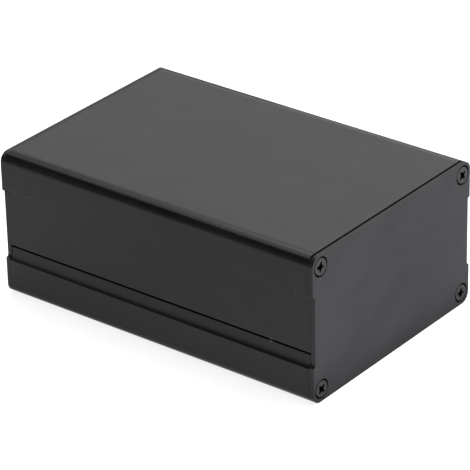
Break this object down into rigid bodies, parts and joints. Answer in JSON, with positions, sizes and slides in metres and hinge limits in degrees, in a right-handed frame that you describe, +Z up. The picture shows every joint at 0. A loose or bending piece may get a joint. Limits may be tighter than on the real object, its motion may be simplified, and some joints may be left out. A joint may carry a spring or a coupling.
{
  "type": "aluminium enclosure",
  "caption": "Split-body aluminium project enclosure: interlocking extruded half shells with board guides, closed by flat end panels held by countersunk corner screws.",
  "frame": {"origin": "middle of the underside, on the surface that the enclosure stands on", "axes": "+X along the extrusion toward the front end panel, +Y across the section, +Z up"},
  "size_m": [0.113, 0.076, 0.046],
  "materials": {
    "shell": "fine matte black anodised extrusion",
    "panel": "fine matte black anodised sheet",
    "screw": "satin black plated steel"
  },
  "bodies": {
    "root": {"top_shell": "shell", "bottom_shell": "shell", "front_panel": "panel", "rear_panel": "panel", "front_screw_1": "screw", "front_screw_2": "screw", "front_screw_3": "screw", "front_screw_4": "screw", "rear_screw_1": "screw", "rear_screw_2": "screw", "rear_screw_3": "screw", "rear_screw_4": "screw"}
  },
  "joints": []
}
